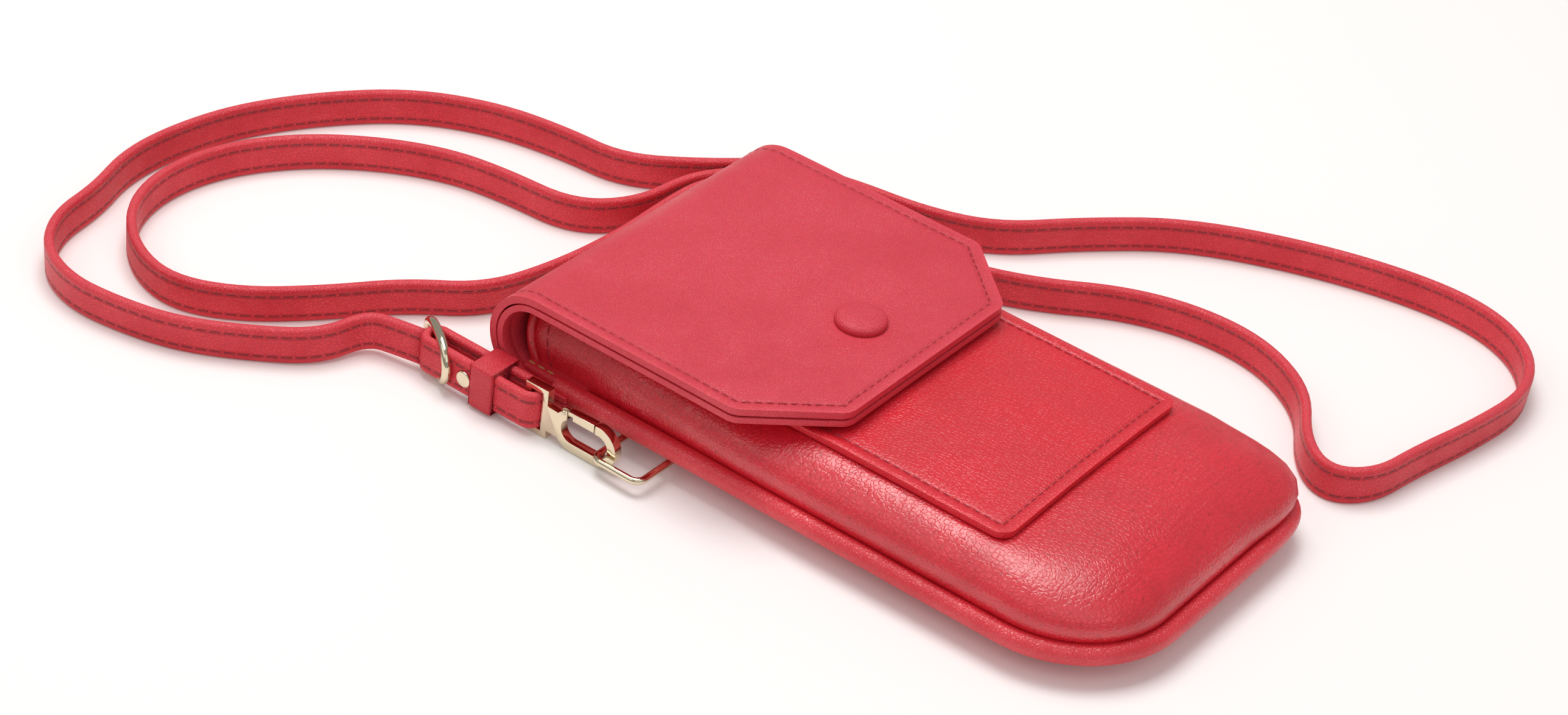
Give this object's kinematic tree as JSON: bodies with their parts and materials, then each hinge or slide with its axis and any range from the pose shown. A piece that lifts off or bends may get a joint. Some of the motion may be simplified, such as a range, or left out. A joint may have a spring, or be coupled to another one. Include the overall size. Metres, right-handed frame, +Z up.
{
  "type": "phone pouch",
  "caption": "Leather phone pouch with a chamfered button flap, a slip pocket and piped edges, on a long adjustable strap that clips to side rings.",
  "frame": {"origin": "on the surface that the pouch lies on, under the middle of the pouch without its strap", "axes": "+X across the pouch, +Y from its bottom to the fold of the flap, +Z up out of its front"},
  "size_m": [0.2534, 0.317, 0.0335],
  "materials": {
    "flap_leather": "smooth dyed leather, satin",
    "body_leather": "milled leather, soft sheen",
    "piping_leather": "milled leather, soft sheen",
    "strap_leather": "smooth leather, satin",
    "lining_cloth": "woven, matt",
    "gold_metal": "pale gold plating, polished",
    "snap_steel": "plated, satin",
    "stiffener_board": "fibre board, matt"
  },
  "bodies": {
    "pouch": {"back_panel": "body_leather", "front_panel": "body_leather", "rim_piping": "piping_leather", "lining_front": "lining_cloth", "lining_back": "lining_cloth", "front_hem": "body_leather", "back_hem": "body_leather", "front_pocket": "body_leather", "snap_socket": "snap_steel", "pocket_washer": "snap_steel", "flap_root": "flap_leather", "ring_tab_near": "body_leather", "ring_tab_far": "body_leather", "strap_run_1": "strap_leather", "strap_run_2": "strap_leather", "strap_run_3": "strap_leather", "strap_run_4": "strap_leather", "strap_run_5": "strap_leather"},
    "fold_lower": {"fold_strip_1": "flap_leather"},
    "fold_middle": {"fold_strip_2": "flap_leather"},
    "fold_upper": {"fold_strip_3": "flap_leather"},
    "flap": {"flap_outer": "flap_leather", "flap_stiffener": "stiffener_board", "flap_lining": "flap_leather", "flap_button": "flap_leather", "snap_stud": "snap_steel", "flap_washer": "snap_steel"},
    "ring_near": {"ring_near": "gold_metal"},
    "ring_far": {"ring_far": "gold_metal"},
    "hook_near": {"hook_frame_near": "gold_metal", "hook_pin_near": "gold_metal", "strap_loop_near": "strap_leather", "strap_slider": "gold_metal", "strap_rivet": "gold_metal", "strap_keeper": "strap_leather"},
    "hook_far": {"hook_frame_far": "gold_metal", "hook_pin_far": "gold_metal", "strap_loop_far": "strap_leather"},
    "gate_near": {"hook_gate_near": "gold_metal"},
    "gate_far": {"hook_gate_far": "gold_metal"}
  },
  "joints": [
    {"name": "flap_fold_1", "type": "hinge", "parent": "pouch", "child": "fold_lower", "pos_m": [0, 0.07615, 0.0042], "axis": [-1, 0, 0], "range_deg": [0, 15]},
    {"name": "flap_fold_2", "type": "hinge", "parent": "fold_lower", "child": "fold_middle", "pos_m": [0, 0.08767, 0.01085], "axis": [-1, 0, 0], "range_deg": [0, 25]},
    {"name": "flap_fold_3", "type": "hinge", "parent": "fold_middle", "child": "fold_upper", "pos_m": [0, 0.08767, 0.02415], "axis": [-1, 0, 0], "range_deg": [0, 45]},
    {"name": "flap_open", "type": "hinge", "parent": "fold_upper", "child": "flap", "pos_m": [0, 0.07615, 0.0308], "axis": [-1, 0, 0], "range_deg": [0, 80]},
    {"name": "ring_swing_near", "type": "hinge", "parent": "pouch", "child": "ring_near", "pos_m": [-0.0415, 0.04175, 0.0041], "axis": [0, -1, 0], "range_deg": [0, 70]},
    {"name": "hook_swing_near", "type": "hinge", "parent": "ring_near", "child": "hook_near", "pos_m": [-0.0552, 0.04865, 0.0041], "axis": [1, 0, 0], "range_deg": [0, 30]},
    {"name": "gate_near", "type": "hinge", "parent": "hook_near", "child": "gate_near", "pos_m": [-0.0552, 0.05985, 0.0104], "axis": [1, 0, 0], "range_deg": [0, 28], "stiffness_Nm_per_rad": 0.004, "springref_deg": -11.46},
    {"name": "ring_swing_far", "type": "hinge", "parent": "pouch", "child": "ring_far", "pos_m": [0.0415, 0.04175, 0.0041], "axis": [0, 1, 0], "range_deg": [0, 70]},
    {"name": "hook_swing_far", "type": "hinge", "parent": "ring_far", "child": "hook_far", "pos_m": [0.0552, 0.04865, 0.0041], "axis": [1, 0, 0], "range_deg": [0, 30]},
    {"name": "gate_far", "type": "hinge", "parent": "hook_far", "child": "gate_far", "pos_m": [0.0552, 0.05985, 0.0104], "axis": [1, 0, 0], "range_deg": [0, 28], "stiffness_Nm_per_rad": 0.004, "springref_deg": -11.46}
  ],
  "couplings": [
    {"joint": "flap_fold_1", "follows": "flap_open", "ratio": 0.1875},
    {"joint": "flap_fold_2", "follows": "flap_open", "ratio": 0.3125},
    {"joint": "flap_fold_3", "follows": "flap_open", "ratio": 0.5625}
  ]
}
